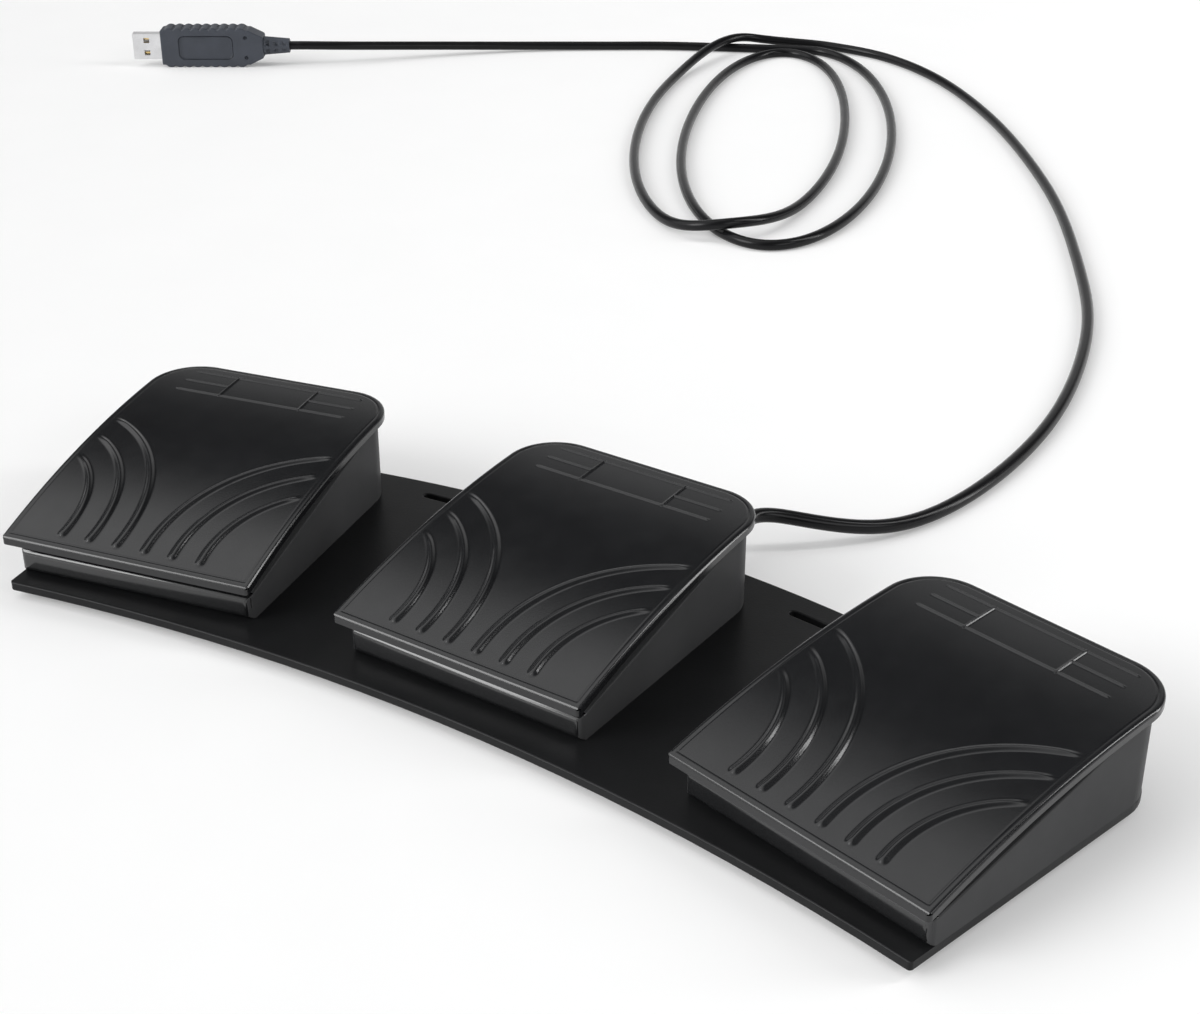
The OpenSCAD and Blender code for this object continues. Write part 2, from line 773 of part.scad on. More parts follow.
module plunger(side) {
    top = switch_top + plunger_up;
    color([0.75, 0.1, 0.08]) on_arc(side) block(
        -plunger_w / 2, plunger_w / 2,
        plunger_v - plunger_d / 2, plunger_v + plunger_d / 2,
        top - plunger_len, top
    );
}

module switch_screws(side) {
    color([0.6, 0.6, 0.62]) on_arc(side) for (h = switch_holes) {
        translate([-switch_t / 2, switch_front_v + h, switch_z + switch_hole_h]) {
            rod_u([-switch_head_h, 0, 0], switch_head_r, switch_head_h, 24);
            rod_u([-eps, 0, 0], switch_screw_r, switch_t + switch_rib_t - 0.4, 24);
        }
    }
}

// Screws up through the base into the housings, heads between the feet
module housing_screws() {
    color([0.55, 0.55, 0.57]) for (side = sides) on_arc(side) for (q = screw_spots) {
        disc(q, screw_head_r, foot_h - screw_head_h, foot_h);
        disc(q, screw_r, foot_h - eps, screw_tip_z);
    }
}

// Points of a pedal's own frame as points of the whole
function placed(side, q) =
    let (a = side * pedal_pitch, r = arc_r + q[1])
    [r * sin(a) + q[0] * cos(a), r * cos(a) - q[0] * sin(a) - arc_y, q[2]];

// Way of a wire from inside a housing down through the floor and the base, on the side s
function wire_drop(s) = [
    [s * (wire_hole_u - 1.25 * wire_r), wire_hole_v - 0.75 * wire_r, wire_high],
    [s * wire_hole_u, wire_hole_v, floor_z],
    [s * wire_hole_u, wire_hole_v, foot_h + wire_r],
    [s * (wire_hole_u + 0.9 * wire_r), wire_hole_v, wire_low + wire_r / 8],
    [s * (wire_hole_u + wire_turn), wire_hole_v, wire_low - wire_r / 8]
];
// From a side switch down through the base, along its underside and up to the splice in the middle
module link_wire(side) {
    blade_z = switch_z - blade_h / 2;
    blade_v = switch_back_v - 2.2 + blade_w / 2;
    end_u = splice_u + side * 1.5 * wire_r;
    from_right = side == side_right;
    path = concat(
        [for (q = [
            [0, blade_v, blade_z],
            [0, blade_v + wire_end, blade_z],
            [0, blade_v + 2 * wire_end, blade_z],
            [-side * wire_in, blade_v + wire_by_hole, wire_high],
            [-side * (wire_hole_u - wire_by_hole), wire_hole_v - 1.25 * wire_turn, wire_high]
        ]) placed(side, q)],
        [for (q = wire_drop(-side)) placed(side, q)],
        [placed(side / 2, [0, wire_hole_v + wire_turn, wire_low])],
        [for (i = [4:-1:0]) placed(side_centre, wire_drop(side)[i])],
        [for (q = [
            [
                from_right ? wire_hole_u - wire_r / 4 : wire_in - wire_hole_u,
                wire_hole_v - 2 * wire_turn, wire_high
            ],
            [
                from_right ? splice_u + 3 * wire_end : wire_splice_step,
                splice_front_v + (from_right ? 0 : wire_turn), wire_high
            ],
            [end_u + side * wire_end - 1.25 * wire_r, splice_front_v - wire_by_hole, gland_z - wire_r / 2],
            [end_u, splice_front_v - 2 * wire_splice_step, gland_z],
            [end_u, splice_front_v - wire_splice_step, gland_z],
            [end_u, splice_front_v, gland_z]
        ]) placed(side_centre, q)]
    );
    p = curve(path, 2);
    color([0.12, 0.12, 0.13]) tube(p, tangents(p), wire_r, wire_sides);
}

module splice_sleeve() {
    color([0.06, 0.06, 0.06]) on_arc(side_centre) {
        rod_v([splice_u, splice_front_v, gland_z], splice_r, splice_back_v - splice_front_v);
    }
}

module cord_tail() {
    tail_end = housing_back - wall_t - gland_flange_t;
    color([0.07, 0.07, 0.075]) on_arc(side_centre) {
        rod_v([splice_u, splice_back_v, gland_z], tail_r, tail_end - splice_back_v);
    }
}

// Moulded sleeve that holds the cord in the back wall, with rings that let it bend
module cord_gland() {
    step = gland_len / (2 * gland_rings + 1);
    color([0.05, 0.05, 0.055]) on_arc(side_centre) translate([splice_u, housing_back, gland_z]) {
        rod_v([0, -wall_t - gland_flange_t, 0], gland_flange_r, gland_flange_t);
        rod_v([0, -wall_t - eps, 0], gland_neck_r, wall_t + 2 * eps);
        rod_v([0, 0, 0], gland_flange_r, gland_collar_t);
        difference() {
            translate([0, gland_collar_t - eps, 0]) rotate([-90, 0, 0]) {
                cylinder(r1 = gland_root_r, r2 = gland_tip_r, h = gland_len + eps, $fn = round_fn);
            }
            for (i = [1:gland_rings]) translate([0, gland_collar_t + (2 * i - 1) * step, 0]) difference() {
                rod_v([0, 0, 0], gland_root_r + 1, step);
                rod_v([0, -1, 0], gland_tip_r - gland_groove, step + 2);
            }
        }
    }
}

// The cord between two points of its path
module cord_piece(a, b) {
    color([0.07, 0.07, 0.075]) tube(piece(cord_path, a, b), piece(cord_tangents, a, b), cord_r, cord_sides);
}
module cord_run() {
    cord_piece(coil_last, len(cord_path) - 1);
}
module cord_coil() {
    cord_piece(lead_last, coil_last);
}
module cord_lead() {
    cord_piece(0, lead_last);
}

// The plug stands on its narrow edge: x towards the metal shell, y out of its wide face
module at_plug() {
    translate(plug_end) rotate([0, 0, plug_dir]) children();
}
module wide_plate(t) {
    rotate([90, 0, 0]) translate([0, 0, -t / 2]) linear_extrude(t) children();
}

module plug_relief() {
    step = relief_len / 6;
    color([0.2, 0.22, 0.26]) at_plug() difference() {
        rotate([0, 90, 0]) cylinder(r1 = relief_r1, r2 = relief_r2, h = relief_len, $fn = round_fn);
        for (i = [0:2]) for (s = [-1, 1]) for (w = [-1, 1]) {
            translate([(2 * i + 0.9) * step, s * relief_r2, w * relief_r1 * 0.55]) {
                cube([notch_w, relief_r2 * 0.7, relief_r1 * 0.62], center = true);
            }
        }
    }
}

module plug_grip() {
    pitch = (plug_len - grip_chamfer - 4) / grip_bumps;
    edge = plug_w / 2 - grip_bump_r;
    color([0.2, 0.22, 0.26]) at_plug() translate([relief_len, 0, 0]) difference() {
        wide_plate(plug_t) {
            polygon([
                [0, -relief_r2 - 0.6], [grip_chamfer, -plug_w / 2 + 1.2], [plug_len, -plug_w / 2 + 1.2],
                [plug_len, plug_w / 2 - 1.2], [grip_chamfer, plug_w / 2 - 1.2], [0, relief_r2 + 0.6]
            ]);
            for (i = [0:grip_bumps - 1]) for (s = [-1, 1]) {
                translate([grip_chamfer + 2 + (i + 0.5) * pitch, s * edge]) circle(grip_bump_r, $fn = 32);
            }
        }
        for (s = [-1, 1]) translate([plug_len * 0.56, s * plug_t / 2, 0]) wide_plate(2 * panel2_depth) {
            square([panel2_len, panel2_w - 2 * panel2_r], center = true);
            square([panel2_len - 2 * panel2_r, panel2_w], center = true);
            for (a = [-1, 1]) for (b = [-1, 1]) {
                translate([a * (panel2_len / 2 - panel2_r), b * (panel2_w / 2 - panel2_r)]) {
                    circle(panel2_r, $fn = 32);
                }
            }
        }
        for (w = [-1, 1]) translate([plug_len * 0.17, plug_t / 2 - 0.5, w * 4.7]) rotate([-90, 0, 0]) {
            cylinder(r = 0.55, h = 1, $fn = 24);
        }
    }
}

// Square windows in the shell, and the dents behind them
module shell_windows(front, y, depth) {
    for (w = [-1, 1]) translate([front + shell_len * 0.52, y, w * window_z]) {
        cube([window_l, depth, window_w], center = true);
    }
}
module usb_shell() {
    front = relief_len + plug_len;
    color([0.78, 0.79, 0.8]) at_plug() difference() {
        translate([front, -shell_t / 2, -shell_w / 2]) cube([shell_len, shell_t, shell_w]);
        translate([front - 1, -shell_t / 2 + shell_wall, -shell_w / 2 + shell_wall]) {
            cube([shell_len + 2, shell_t - 2 * shell_wall, shell_w - 2 * shell_wall]);
        }
        shell_windows(front, 0, shell_t + 1);
    }
}

module usb_tongue() {
    front = relief_len + plug_len;
    half = shell_w / 2 - shell_wall - tongue_gap;
    color([0.86, 0.86, 0.86]) at_plug() difference() {
        translate([front, -shell_t / 2 + shell_wall + tongue_gap, -half]) {
            cube([shell_len - tongue_back, tongue_t, 2 * half]);
        }
        shell_windows(front, -shell_t / 2, 1.4);
    }
}

module usb_contacts() {
    front = relief_len + plug_len;
    contact_y = -shell_t / 2 + shell_wall + tongue_gap + tongue_t;
    color([0.85, 0.7, 0.35]) at_plug() for (i = [-1.5:1:1.5]) {
        translate([front, contact_y, i * contact_pitch - contact_w / 2]) {
            cube([shell_len - contact_back, contact_t, contact_w]);
        }
    }
}

base_plate();
rubber_feet();
housing(side_left);  // housing_left
housing(side_centre);  // housing_centre
housing(side_right);  // housing_right
tread(side_left);  // tread_left
tread(side_centre);  // tread_centre
tread(side_right);  // tread_right
hinge_pin(side_left);  // hinge_pin_left
hinge_pin(side_centre);  // hinge_pin_centre
hinge_pin(side_right);  // hinge_pin_right
spring(side_left);  // spring_left
spring(side_centre);  // spring_centre
spring(side_right);  // spring_right
switch_body(side_left);  // switch_left
switch_body(side_centre);  // switch_centre
switch_body(side_right);  // switch_right
lever(side_left);  // lever_left
lever(side_centre);  // lever_centre
lever(side_right);  // lever_right
plunger(side_left);  // plunger_left
plunger(side_centre);  // plunger_centre
plunger(side_right);  // plunger_right
switch_screws(side_left);  // switch_screws_left
switch_screws(side_centre);  // switch_screws_centre
switch_screws(side_right);  // switch_screws_right
housing_screws();
link_wire(side_left);  // link_wire_left
link_wire(side_right);  // link_wire_right
splice_sleeve();
cord_tail();
cord_gland();
cord_run();
cord_coil();
cord_lead();
plug_relief();
plug_grip();
usb_shell();
usb_tongue();
usb_contacts();
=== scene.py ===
import json
import math

import bmesh
import bpy
import numpy as np
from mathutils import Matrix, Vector


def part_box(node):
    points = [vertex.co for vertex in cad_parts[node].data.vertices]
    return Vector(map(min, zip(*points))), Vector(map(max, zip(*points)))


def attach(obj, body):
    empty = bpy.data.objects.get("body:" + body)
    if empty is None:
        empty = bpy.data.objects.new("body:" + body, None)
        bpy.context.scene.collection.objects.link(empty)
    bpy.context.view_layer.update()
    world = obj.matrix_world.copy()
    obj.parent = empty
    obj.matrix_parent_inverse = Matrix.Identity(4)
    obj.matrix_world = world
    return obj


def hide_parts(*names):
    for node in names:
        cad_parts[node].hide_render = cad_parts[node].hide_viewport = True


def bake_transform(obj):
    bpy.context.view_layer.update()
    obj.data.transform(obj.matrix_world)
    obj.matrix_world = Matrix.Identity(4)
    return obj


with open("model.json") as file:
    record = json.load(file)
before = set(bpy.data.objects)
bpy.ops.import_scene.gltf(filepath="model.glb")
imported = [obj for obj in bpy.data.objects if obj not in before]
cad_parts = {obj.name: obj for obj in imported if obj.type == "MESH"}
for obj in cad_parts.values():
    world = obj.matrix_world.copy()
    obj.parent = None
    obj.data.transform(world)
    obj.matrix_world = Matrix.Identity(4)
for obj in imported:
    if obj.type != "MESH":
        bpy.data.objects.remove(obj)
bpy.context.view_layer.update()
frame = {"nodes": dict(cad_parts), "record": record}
nodes = frame["nodes"]
mm = 0.001
pedals = {"left": -1, "centre": 0, "right": 1}
scene = bpy.context.scene
scene.view_settings.view_transform = "Standard"
print("frame loaded:", len(nodes), "nodes")


# shared helpers
def addObject(name, data):
    piece = bpy.data.objects.new(name, data)
    scene.collection.objects.link(piece)
    return piece


def smoothFaces(mesh):
    mesh.polygons.foreach_set("use_smooth", [True] * len(mesh.polygons))


def addMesh(name, verts, faces):
    mesh = bpy.data.meshes.new(name)
    mesh.from_pydata([tuple(v) for v in verts], [], [tuple(f) for f in faces])
    mesh.update()
    smoothFaces(mesh)
    return addObject(name, mesh)


def easeInOut(share):
    return share ** 2 * (3 - 2 * share)


# camera: to the right of the front, looking down on the row
cameraSet = {
    "place": (0.2474, -0.3361, 0.2665),
    "aim": (-0.0309, 0.0706, 0.0),
    "lens": 60.0,
    "sensor": 36.0,
    "clipEnd": 20.0,
}


def addCamera(look):
    lens = bpy.data.cameras.new("photoCamera")
    lens.lens = look["lens"]
    lens.sensor_fit = "HORIZONTAL"
    lens.sensor_width = look["sensor"]
    lens.clip_end = look["clipEnd"]
    camera = addObject("photoCamera", lens)
    camera.location = look["place"]
    away = Vector(look["aim"]) - Vector(look["place"])
    camera.rotation_euler = away.to_track_quat("-Z", "Y").to_euler()
    scene.camera = camera


addCamera(cameraSet)
print("camera placed")


# nodes for the finishes, the floor and the world
def newFinish(name):
    finish = bpy.data.materials.new(name)
    finish.use_nodes = True
    tree = finish.node_tree
    coords = tree.nodes.new("ShaderNodeTexCoord")
    return finish, tree, tree.nodes["Principled BSDF"], coords.outputs["Object"]


def addNoise(tree, coords, scale, detail, rough):
    noise = tree.nodes.new("ShaderNodeTexNoise")
    noise.inputs["Scale"].default_value = scale
    noise.inputs["Detail"].default_value = detail
    noise.inputs["Roughness"].default_value = rough
    tree.links.new(coords, noise.inputs["Vector"])
    return noise.outputs["Fac"]


def addRange(tree, value, fromSpan, toSpan):
    span = tree.nodes.new("ShaderNodeMapRange")
    for socket, number in zip(("From Min", "From Max", "To Min", "To Max"), (*fromSpan, *toSpan)):
        span.inputs[socket].default_value = number
    tree.links.new(value, span.inputs["Value"])
    return span.outputs["Result"]


def addRamp(tree, value, stops):
    ramp = tree.nodes.new("ShaderNodeValToRGB")
    band = ramp.color_ramp.elements
    for element, (at, colour) in ((band[0], stops[0]), (band[1], stops[-1])):
        element.position = at
        element.color = (*colour, 1)
    for at, colour in stops[1:-1]:
        band.new(at).color = (*colour, 1)
    tree.links.new(value, ramp.inputs["Fac"])
    return ramp.outputs["Color"]


def addMath(tree, kind, first, second):
    node = tree.nodes.new("ShaderNodeMath")
    node.operation = kind
    tree.links.new(first, node.inputs[0])
    if isinstance(second, float):
        node.inputs[1].default_value = second
    else:
        tree.links.new(second, node.inputs[1])
    return node.outputs[0]


def addMix(tree, share, first, second):
    mix = tree.nodes.new("ShaderNodeMixShader")
    for output, socket in zip((share, first, second), mix.inputs):
        tree.links.new(output, socket)
    return mix.outputs["Shader"]


def addBump(tree, height, depth, strength):
    bump = tree.nodes.new("ShaderNodeBump")
    bump.inputs["Strength"].default_value = strength
    bump.inputs["Distance"].default_value = depth
    tree.links.new(height, bump.inputs["Height"])
    return bump.outputs["Normal"]


def grey(level):
    return (level,) * 3


# finishes: cloudy colour, uneven gloss and a fine grain
mouldedNoise = {  # plastic, rubber and paint
    "cloud": (4.0, 0.6), "patch": (3.0, 0.55), "grain": (3.0, 0.6),  # detail and roughness of each noise
    "colourSpan": (0.3, 0.72), "glossSpan": (0.3, 0.7),
    "patchShare": 2.7,  # how much finer the gloss patches are than the clouds
    "specular": 0.5, "metallic": 0,
}
metalNoise = {  # plated or drawn metal, whose grain is fine scratches
    "cloud": (3.0, 0.6), "patch": (3.0, 0.6), "grain": (2.0, 0.7),
    "colourSpan": (0.3, 0.7), "glossSpan": (0.3, 0.7),
    "patchShare": 3,
    "specular": 0.5, "metallic": 1,
}
mouldedLooks = {
    "treadPlastic": {
        "colours": ((0.0078, 0.0081, 0.009), (0.0105, 0.0109, 0.012)), "gloss": (0.17, 0.21),
        "cloudScale": 60, "grainScale": 1900, "grainDepth": 0.00004, "grainStrength": 0.15,
    },
    # the housing's plastic, lightened above the lip's copy as painted light on the side walls
    "housingPaintedLightPlastic": {
        "colours": ((0.057, 0.0575, 0.059), (0.068, 0.0685, 0.07)), "gloss": (0.34, 0.42),
        "cloudScale": 50, "grainScale": 2200, "grainDepth": 0.00004, "grainStrength": 0.2,
        "specular": 0.03,
    },
    # the same plastic on the front bar: glossier, and darker as painted shade
    "lipPaintedShadePlastic": {
        "colours": ((0.009, 0.0093, 0.01), (0.013, 0.0133, 0.014)), "gloss": (0.11, 0.15),
        "cloudScale": 50, "grainScale": 2200, "grainDepth": 0.00003, "grainStrength": 0.12,
        "specular": 0.75,
    },
    "basePaint": {
        "colours": ((0.009, 0.0092, 0.0098), (0.0125, 0.0128, 0.0135)), "gloss": (0.30, 0.38),
        "cloudScale": 40, "grainScale": 1800, "grainDepth": 0.00008, "grainStrength": 0.3,
        "specular": 0.15,
    },
    "soleRubber": {
        "colours": ((0.012, 0.012, 0.012), (0.02, 0.02, 0.02)), "gloss": (0.7, 0.85),
        "cloudScale": 90, "grainScale": 2500, "grainDepth": 0.0001, "grainStrength": 0.4,
    },
    "cordJacket": {
        "colours": ((0.006, 0.006, 0.0065), (0.009, 0.009, 0.01)), "gloss": (0.2, 0.26),
        "cloudScale": 70, "grainScale": 3000, "grainDepth": 0.00003, "grainStrength": 0.12,
        "specular": 0.18,
    },
    "switchCase": {
        "colours": ((0.012, 0.012, 0.013), (0.018, 0.018, 0.02)), "gloss": (0.35, 0.45),
        "cloudScale": 120, "grainScale": 3500, "grainDepth": 0.00004, "grainStrength": 0.2,
    },
    "plungerRed": {
        "colours": ((0.5, 0.045, 0.035), (0.6, 0.07, 0.05)), "gloss": (0.28, 0.36),
        "cloudScale": 200, "grainScale": 4000, "grainDepth": 0.00003, "grainStrength": 0.15,
    },
    "plugOvermould": {
        "colours": ((0.033, 0.039, 0.052), (0.045, 0.052, 0.068)), "gloss": (0.45, 0.55),
        "cloudScale": 110, "grainScale": 3200, "grainDepth": 0.00006, "grainStrength": 0.3,
    },
    "insulatorWhite": {
        "colours": ((0.68, 0.68, 0.67), (0.78, 0.78, 0.77)), "gloss": (0.35, 0.45),
        "cloudScale": 150, "grainScale": 3500, "grainDepth": 0.00003, "grainStrength": 0.15,
    },
}
metalLooks = {
    "plainSteel": {
        "colours": ((0.5, 0.5, 0.51), (0.62, 0.62, 0.64)), "gloss": (0.25, 0.4),
        "cloudScale": 120, "grainScale": 2400, "grainDepth": 0.00003, "grainStrength": 0.2,
    },
    "nickelPlate": {
        "colours": ((0.66, 0.66, 0.67), (0.78, 0.78, 0.79)), "gloss": (0.16, 0.26),
        "cloudScale": 160, "grainScale": 2600, "grainDepth": 0.00002, "grainStrength": 0.15,
    },
    "goldFlash": {
        "colours": ((0.75, 0.52, 0.2), (0.88, 0.66, 0.3)), "gloss": (0.2, 0.3),
        "cloudScale": 200, "grainScale": 3000, "grainDepth": 0.00002, "grainStrength": 0.15,
    },
}
slotFinish = {
    "base_steel": "basePaint", "housing_plastic": "housingPaintedLightPlastic", "tread_plastic": "treadPlastic",
    "rubber": "soleRubber", "cord_jacket": "cordJacket", "steel": "plainSteel", "switch_case": "switchCase",
    "plunger_red": "plungerRed", "plug_plastic": "plugOvermould", "plug_shell": "nickelPlate",
    "tongue_white": "insulatorWhite", "contact_gold": "goldFlash",
}


def makeFinish(name, look, noise):
    finish, tree, shader, coords = newFinish(name)
    cloud = addNoise(tree, coords, look["cloudScale"], *noise["cloud"])
    colour = addRamp(tree, cloud, list(zip(noise["colourSpan"], look["colours"])))
    patch = addNoise(tree, coords, look["cloudScale"] * noise["patchShare"], *noise["patch"])
    gloss = addRange(tree, patch, noise["glossSpan"], look["gloss"])
    grain = addNoise(tree, coords, look["grainScale"], *noise["grain"])
    normal = addBump(tree, grain, look["grainDepth"], look["grainStrength"])
    for output, socket in ((colour, "Base Color"), (gloss, "Roughness"), (normal, "Normal")):
        tree.links.new(output, shader.inputs[socket])
    shader.inputs["Specular IOR Level"].default_value = look.get("specular", noise["specular"])
    shader.inputs["Metallic"].default_value = noise["metallic"]
    return finish


def setFinish(piece, name):
    piece.data.materials.clear()
    piece.data.materials.append(finishes[name])


def dress(piece, slot, body):
    setFinish(piece, slotFinish[slot])
    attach(piece, body)


finishes = {name: makeFinish(name, look, mouldedNoise) for name, look in mouldedLooks.items()}
finishes.update({name: makeFinish(name, look, metalNoise) for name, look in metalLooks.items()})
for part in frame["record"]["subparts"]:
    setFinish(nodes[part["node"]], slotFinish[part["material_slot"]])
print("finishes made:", len(finishes))


# cord: the same route as the solids', from the plug through two loops to the gland
cordSet = {
    "diameter": 4.0 * mm, "length": 2.005,
    "floorGap": 0.05 * mm,
    "ringSteps": 5,  # cuts of each quarter of the round cord
    "exit": (17.0 * mm, 64.5185 * mm, 10.9 * mm),
    "exitBend": (3.4 * mm, 14.4 * mm, -1.2 * mm),  # from the exit
    "exitSteps": (2, 1, 0),  # diameters straight out of the gland
    "plugEnd": (-400.4 * mm, 351.6 * mm, 9.3 * mm),
    "plugTurn": 214.4,
    "plugSteps": (0, 1, 2),  # diameters straight out of the plug
    "loopCentre": (-150.5 * mm, 386.8 * mm),
    "loopTurn": 116.0,
    "loopReach": (132.0 * mm, 43.5 * mm),
    "loopStep": 5, "loopEnd": 720,  # degrees
    "loopShift": (7.0 * mm, -20.2 * mm), "shiftSpan": (270, 450),  # the second loop lies beside the first
    "loopInset": 10.0 * mm, "insetAt": 360, "insetHalf": 120,
    "humpHeight": 4.7 * mm, "humpsAt": (532.0, 698.0), "humpHalf": 40.0,  # over the turns below
    "leadCuts": 3, "runCuts": 6, "allCuts": 2,
    "runPasses": 10, "allPasses": 6,
    "lead": [  # in mm, and the share of the plug's height
        (-378.7, 370.8, 0.84), (-363.3, 389.1, 0.6), (-347.6, 407.5, 0.36), (-330.3, 425.9, 0.15),
        (-309.9, 443.8, 0.03), (-287.9, 459.7, 0), (-265.5, 475.1, 0), (-236, 490.3, 0),
    ],
    "run": [  # in mm, with the height over the floor
        (-209, 514.3, 0.8), (-188, 518.3, 0), (-165, 514.3, 0), (-129, 494.3, 0), (-85, 452.3, 0),
        (-50, 409.3, 0), (-18, 364.3, 0), (12, 310.3, 0), (34, 266.3, 0), (50, 210.3, 0), (55, 167.3, 0),
        (53, 128.3, 0), (45, 102.3, 0.6), (32, 87.3, 4.4),
    ],
}
cordRadius = cordSet["diameter"] / 2
cordLevel = cordRadius + cordSet["floorGap"]


def throughPoints(points, cuts):
    # one smooth curve through all points, each span in a few cuts
    p = [Vector(q) for q in points]
    out = []
    for i in range(len(p) - 1):
        a, b, c, d = p[max(i - 1, 0)], p[i], p[i + 1], p[min(i + 2, len(p) - 1)]
        for k in range(cuts):
            t = k / cuts
            out.append(0.5 * (2 * b + (c - a) * t + (2 * a - 5 * b + 4 * c - d) * t ** 2
                              + (3 * b - a - 3 * c + d) * t ** 3))
    return out + [p[-1]]


def evenOut(points, passes):
    # each pass draws a point towards the middle of its neighbours, and the ends stay
    for _ in range(passes):
        middle = [(a + 2 * b + c) / 4 for a, b, c in zip(points, points[1:], points[2:])]
        points = [points[0]] + middle + [points[-1]]
    return points


def hump(off, half):
    return math.cos(math.radians(90 * off / half)) ** 2 if abs(off) < half else 0


def loopPoint(turn, look):
    start, stop = look["shiftSpan"]
    ease = easeInOut(min(max((turn - start) / (stop - start), 0), 1))
    reach = look["loopReach"][0] - look["loopInset"] * hump(turn - look["insetAt"], look["insetHalf"])
    far = ease * look["loopShift"][0] + reach * math.cos(math.radians(turn))
    across = ease * look["loopShift"][1] + look["loopReach"][1] * math.sin(math.radians(turn))
    c, s = math.cos(math.radians(look["loopTurn"])), math.sin(math.radians(look["loopTurn"]))
    lift = sum(hump(turn - at, look["humpHalf"]) for at in look["humpsAt"])
    return Vector((
        look["loopCentre"][0] + far * c + across * s,
        look["loopCentre"][1] + far * s - across * c,
        cordLevel + look["humpHeight"] * lift,
    ))


def overFloor(x, y, rise):
    return Vector((x * mm, y * mm, cordLevel + rise * mm))


def cordRoute(look):
    d = look["diameter"]
    end, out = Vector(look["plugEnd"]), Vector(look["exit"])
    turn = math.radians(look["plugTurn"])
    axis = Vector((math.cos(turn), math.sin(turn), 0))
    drop = (end.z - cordLevel) / mm
    lead = [end - k * d * axis for k in look["plugSteps"]]
    lead += [overFloor(x, y, share * drop) for x, y, share in look["lead"]]
    loops = [loopPoint(turn, look) for turn in range(0, look["loopEnd"] + 1, look["loopStep"])]
    run = [overFloor(*q) for q in look["run"]] + [out + Vector(look["exitBend"])]
    run += [out + Vector((0, k * d, 0)) for k in look["exitSteps"]]
    run = evenOut(throughPoints(run, look["runCuts"]), look["runPasses"])
    route = throughPoints(lead, look["leadCuts"]) + loops + run
    return evenOut(throughPoints(route, look["allCuts"]), look["allPasses"])


def addCord(look):
    route = cordRoute(look)
    curve = bpy.data.curves.new("cord", "CURVE")
    curve.dimensions = "3D"
    curve.bevel_depth = cordRadius
    curve.bevel_resolution = look["ringSteps"]
    curve.use_fill_caps = True
    spline = curve.splines.new("POLY")
    spline.points.add(len(route) - 1)
    for point, q in zip(spline.points, route):
        point.co = (*q, 1)
    spline.use_smooth = True
    cord = addObject("cord", curve)
    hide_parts("cord_run", "cord_coil", "cord_lead")
    dress(cord, "cord_jacket", "base")
    return cord


cord = addCord(cordSet)
print("cord laid:", len(cord.data.splines[0].points), "points")


# treads: the arched plate with its ribs, lines and rim as one fine relief
treadSet = {
    "width": 72 * mm, "depth": 86 * mm, "backRound": 14 * mm, "frontRound": 1 * mm,
    "archRadius": 284 * mm, "backLevel": 30.2 * mm,
    "arcRadius": 426 * mm, "arcCentreY": -461.382 * mm, "pitch": 13.0,  # the row of pedals
    "cell": 0.3 * mm, "leastCell": 0.06 * mm,
    "markCuts": 4, "edgeReach": (2 * mm, 0.6 * mm),  # closer cells at the lines and along the edges
    "straightShare": 0.55,  # of half the width, where the cells' columns stay straight
    "topGap": 0.05 * mm,  # the solid's faces this near to its top give way to the relief
    "sharpTurn": 60,
    "rimDrop": 0.7 * mm, "rimRound": 0.9 * mm,
    "grooveAt": 1.7 * mm, "grooveHalf": 0.3 * mm, "grooveDepth": 0.16 * mm,
    "ribCentre": (49.5 * mm, 8 * mm), "ribRadii": (29.5 * mm, 37.5 * mm, 45.5 * mm),
    "ribFront": 4.6 * mm, "ribEdge": 34 * mm, "ribFade": 6 * mm,
    "ribHeight": 0.75 * mm, "ribLoss": 0.3, "ribHalf": (1.6 * mm, 0.95 * mm),
    "lineHeight": 0.32 * mm, "lineHalf": 0.46 * mm, "lineEnd": 26 * mm,
    "panelHalf": 12.5 * mm, "panelBack": 81 * mm, "panelDepth": 11 * mm,
}


def toWhole(u, v, z, side, look):
    # from across and back on a pedal to the whole part
    turn = math.radians(side * look["pitch"])
    r = look["arcRadius"] + v
    return np.stack([r * math.sin(turn) + u * math.cos(turn),
                     r * math.cos(turn) - u * math.sin(turn) + look["arcCentreY"], z], axis=-1)


def toPedal(x, y, side, look):
    turn = math.radians(side * look["pitch"])
    y = y - look["arcCentreY"]
    u = x * math.cos(turn) - y * math.sin(turn)
    return u, x * math.sin(turn) + y * math.cos(turn) - look["arcRadius"]


def gradedSteps(low, high, marks, look):
    # even steps plus close ones round the given marks
    step, cuts = look["cell"], look["markCuts"]
    steps = list(np.arange(low, high + step / 2, step)) + [low, high]
    for mark, reach in marks:
        steps += [mark + reach * k / cuts for k in range(-cuts, cuts + 1)]
    steps = sorted(min(max(s, low), high) for s in steps)
    kept = [steps[0]]
    for s in steps[1:]:
        if s - kept[-1] > look["leastCell"]:
            kept.append(s)
    kept[-1] = high
    return np.array(kept)


def treadHalfWidth(v, look):
    half, back, front = look["width"] / 2, look["backRound"], look["frontRound"]
    ends = np.full_like(v, half)
    late = np.clip(v - (look["depth"] - back), 0, back)
    ends -= back - np.sqrt(back ** 2 - late ** 2)
    early = np.clip(front - v, 0, front)
    return ends - (front - np.sqrt(front ** 2 - early ** 2))


def rimDistance(u, v, look):
    half, back = look["width"] / 2, look["backRound"]
    away = np.minimum(np.minimum(half - np.abs(u), look["depth"] - v), v)
    inU, inV = np.abs(u) - (half - back), v - (look["depth"] - back)
    corner = back - np.hypot(np.clip(inU, 0, None), np.clip(inV, 0, None))
    return np.clip(np.where((inU > 0) & (inV > 0), corner, away), 0, None)


